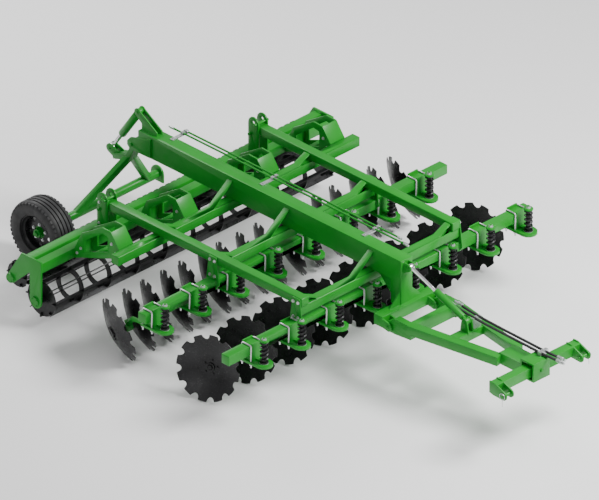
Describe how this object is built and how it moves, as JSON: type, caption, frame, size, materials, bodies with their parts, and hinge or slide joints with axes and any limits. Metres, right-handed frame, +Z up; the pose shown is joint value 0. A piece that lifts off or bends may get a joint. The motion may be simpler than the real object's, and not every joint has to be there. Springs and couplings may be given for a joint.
{
  "type": "disc harrow",
  "caption": "Towed disc harrow with notched discs on sprung arms, cage rollers, a lifting transport wheel, and a drawbar with a lower-link shaft.",
  "frame": {"origin": "middle of the footprint on the floor, under the box round the whole machine", "axes": "+Z up, +Y towards the rear roller and wheel, -Y towards the hitch, +X to the left of the machine"},
  "size_m": [3.2381, 4.9271, 1.0989],
  "materials": {
    "green_paint": "semi-gloss",
    "disc_steel": "semi-gloss",
    "roller_paint": "semi-gloss",
    "wheel_black": "semi-gloss",
    "tyre_rubber": "matte",
    "hose_rubber": "satin",
    "pipe_steel": "satin",
    "chrome_rod": "polished"
  },
  "bodies": {
    "root": {"spine_beam": "green_paint", "front_cross_tube": "green_paint", "middle_cross_tube": "green_paint", "rear_cross_tube": "green_paint", "right_side_rail": "green_paint", "left_side_rail": "green_paint", "front_disc_bar": "green_paint", "rear_disc_bar": "green_paint", "front_disc_arm_1": "green_paint", "front_disc_arm_2": "green_paint", "front_disc_arm_3": "green_paint", "front_disc_arm_4": "green_paint", "front_disc_arm_5": "green_paint", "front_disc_arm_6": "green_paint", "front_disc_arm_7": "green_paint", "front_disc_arm_8": "green_paint", "rear_disc_arm_1": "green_paint", "rear_disc_arm_2": "green_paint", "rear_disc_arm_3": "green_paint", "rear_disc_arm_4": "green_paint", "rear_disc_arm_5": "green_paint", "rear_disc_arm_6": "green_paint", "rear_disc_arm_7": "green_paint", "rear_disc_arm_8": "green_paint", "roller_frame": "green_paint", "roller_bracket_1": "green_paint", "roller_bracket_2": "green_paint", "roller_bracket_3": "green_paint", "roller_bracket_4": "green_paint", "right_roller_adjuster": "green_paint", "left_roller_adjuster": "green_paint", "hydraulic_pipes": "pipe_steel"},
    "front_disc_1": {"front_disc_1": "disc_steel"},
    "front_disc_2": {"front_disc_2": "disc_steel"},
    "front_disc_3": {"front_disc_3": "disc_steel"},
    "front_disc_4": {"front_disc_4": "disc_steel"},
    "front_disc_5": {"front_disc_5": "disc_steel"},
    "front_disc_6": {"front_disc_6": "disc_steel"},
    "front_disc_7": {"front_disc_7": "disc_steel"},
    "front_disc_8": {"front_disc_8": "disc_steel"},
    "rear_disc_pair_1": {"rear_disc_pair_1": "disc_steel"},
    "rear_disc_pair_2": {"rear_disc_pair_2": "disc_steel"},
    "rear_disc_pair_3": {"rear_disc_pair_3": "disc_steel"},
    "rear_disc_pair_4": {"rear_disc_pair_4": "disc_steel"},
    "rear_disc_pair_5": {"rear_disc_pair_5": "disc_steel"},
    "rear_disc_pair_6": {"rear_disc_pair_6": "disc_steel"},
    "rear_disc_pair_7": {"rear_disc_pair_7": "disc_steel"},
    "rear_disc_pair_8": {"rear_disc_pair_8": "disc_steel"},
    "front_roller": {"front_roller": "roller_paint"},
    "rear_roller": {"rear_roller": "roller_paint"},
    "wheel_frame": {"wheel_frame": "green_paint"},
    "transport_wheel": {"transport_tyre": "tyre_rubber", "transport_wheel_rim": "wheel_black"},
    "lift_cylinder_barrel": {"lift_cylinder_barrel": "green_paint"},
    "lift_cylinder_rod": {"lift_cylinder_rod": "chrome_rod"},
    "drawbar": {"drawbar": "green_paint", "hydraulic_hoses": "hose_rubber"},
    "hitch_cross_shaft": {"hitch_cross_shaft": "green_paint"},
    "levelling_barrel": {"levelling_barrel": "green_paint"},
    "levelling_rod": {"levelling_rod": "chrome_rod"}
  },
  "joints": [
    {"name": "front_disc_1_spin", "type": "hinge", "parent": "root", "child": "front_disc_1", "pos_m": [-1.373, -0.1225, 0.25277], "axis": [-0.9077, -0.3304, 0.2588], "continuous": true},
    {"name": "front_disc_2_spin", "type": "hinge", "parent": "root", "child": "front_disc_2", "pos_m": [-0.973, -0.1225, 0.25277], "axis": [-0.9077, -0.3304, 0.2588], "continuous": true},
    {"name": "front_disc_3_spin", "type": "hinge", "parent": "root", "child": "front_disc_3", "pos_m": [-0.573, -0.1225, 0.25277], "axis": [-0.9077, -0.3304, 0.2588], "continuous": true},
    {"name": "front_disc_4_spin", "type": "hinge", "parent": "root", "child": "front_disc_4", "pos_m": [-0.173, -0.1225, 0.25277], "axis": [-0.9077, -0.3304, 0.2588], "continuous": true},
    {"name": "front_disc_5_spin", "type": "hinge", "parent": "root", "child": "front_disc_5", "pos_m": [0.227, -0.1225, 0.25277], "axis": [-0.9077, -0.3304, 0.2588], "continuous": true},
    {"name": "front_disc_6_spin", "type": "hinge", "parent": "root", "child": "front_disc_6", "pos_m": [0.627, -0.1225, 0.25277], "axis": [-0.9077, -0.3304, 0.2588], "continuous": true},
    {"name": "front_disc_7_spin", "type": "hinge", "parent": "root", "child": "front_disc_7", "pos_m": [1.027, -0.1225, 0.25277], "axis": [-0.9077, -0.3304, 0.2588], "continuous": true},
    {"name": "front_disc_8_spin", "type": "hinge", "parent": "root", "child": "front_disc_8", "pos_m": [1.427, -0.1225, 0.25277], "axis": [-0.9077, -0.3304, 0.2588], "continuous": true},
    {"name": "rear_disc_pair_1_spin", "type": "hinge", "parent": "root", "child": "rear_disc_pair_1", "pos_m": [1.373, 0.7615, 0.25277], "axis": [0.9077, -0.3304, 0.2588], "continuous": true},
    {"name": "rear_disc_pair_2_spin", "type": "hinge", "parent": "root", "child": "rear_disc_pair_2", "pos_m": [0.973, 0.7615, 0.25277], "axis": [0.9077, -0.3304, 0.2588], "continuous": true},
    {"name": "rear_disc_pair_3_spin", "type": "hinge", "parent": "root", "child": "rear_disc_pair_3", "pos_m": [0.573, 0.7615, 0.25277], "axis": [0.9077, -0.3304, 0.2588], "continuous": true},
    {"name": "rear_disc_pair_4_spin", "type": "hinge", "parent": "root", "child": "rear_disc_pair_4", "pos_m": [0.173, 0.7615, 0.25277], "axis": [0.9077, -0.3304, 0.2588], "continuous": true},
    {"name": "rear_disc_pair_5_spin", "type": "hinge", "parent": "root", "child": "rear_disc_pair_5", "pos_m": [-0.227, 0.7615, 0.25277], "axis": [0.9077, -0.3304, 0.2588], "continuous": true},
    {"name": "rear_disc_pair_6_spin", "type": "hinge", "parent": "root", "child": "rear_disc_pair_6", "pos_m": [-0.627, 0.7615, 0.25277], "axis": [0.9077, -0.3304, 0.2588], "continuous": true},
    {"name": "rear_disc_pair_7_spin", "type": "hinge", "parent": "root", "child": "rear_disc_pair_7", "pos_m": [-1.027, 0.7615, 0.25277], "axis": [0.9077, -0.3304, 0.2588], "continuous": true},
    {"name": "rear_disc_pair_8_spin", "type": "hinge", "parent": "root", "child": "rear_disc_pair_8", "pos_m": [-1.427, 0.7615, 0.25277], "axis": [0.9077, -0.3304, 0.2588], "continuous": true},
    {"name": "front_roller_spin", "type": "hinge", "parent": "root", "child": "front_roller", "pos_m": [0, 1.5265, 0.232], "axis": [1, 0, 0], "continuous": true},
    {"name": "rear_roller_spin", "type": "hinge", "parent": "root", "child": "rear_roller", "pos_m": [0, 1.7865, 0.333], "axis": [1, 0, 0], "continuous": true},
    {"name": "wheel_lift", "type": "hinge", "parent": "root", "child": "wheel_frame", "pos_m": [0, 1.9865, 0.8], "axis": [1, 0, 0], "range_deg": [0, 40]},
    {"name": "transport_wheel_spin", "type": "hinge", "parent": "wheel_frame", "child": "transport_wheel", "pos_m": [-0.8, 2.1965, 0.267], "axis": [1, 0, 0], "continuous": true},
    {"name": "lift_cylinder_swing", "type": "hinge", "parent": "root", "child": "lift_cylinder_barrel", "pos_m": [0, 1.9685, 1.067], "axis": [1, 0, 0], "range_deg": [-1, 23.85]},
    {"name": "lift_cylinder_stroke", "type": "slide", "parent": "lift_cylinder_barrel", "child": "lift_cylinder_rod", "axis": [0, 0.5658, -0.8245], "range_m": [-0.1259, 0.002]},
    {"name": "drawbar_pitch", "type": "hinge", "parent": "root", "child": "drawbar", "pos_m": [0, -0.9455, 0.502], "axis": [1, 0, 0], "range_deg": [-10, 10]},
    {"name": "hitch_shaft_roll", "type": "hinge", "parent": "drawbar", "child": "hitch_cross_shaft", "pos_m": [0, -2.2185, 0.562], "axis": [0, 1, 0], "range_deg": [-10, 10]},
    {"name": "levelling_swing", "type": "hinge", "parent": "drawbar", "child": "levelling_barrel", "pos_m": [0, -1.4955, 0.664], "axis": [1, 0, 0], "range_deg": [-3.79, 3.79]},
    {"name": "levelling_stroke", "type": "slide", "parent": "levelling_barrel", "child": "levelling_rod", "axis": [0, 0.9363, 0.3513], "range_m": [-0.0621, 0.0621]}
  ],
  "couplings": [
    {"joint": "lift_cylinder_swing", "follows": "wheel_lift", "ratio": 0.57114},
    {"joint": "lift_cylinder_stroke", "follows": "wheel_lift", "m_per_rad": -0.17751},
    {"joint": "levelling_swing", "follows": "drawbar_pitch", "ratio": -0.27925},
    {"joint": "levelling_stroke", "follows": "drawbar_pitch", "m_per_rad": 0.3442}
  ]
}
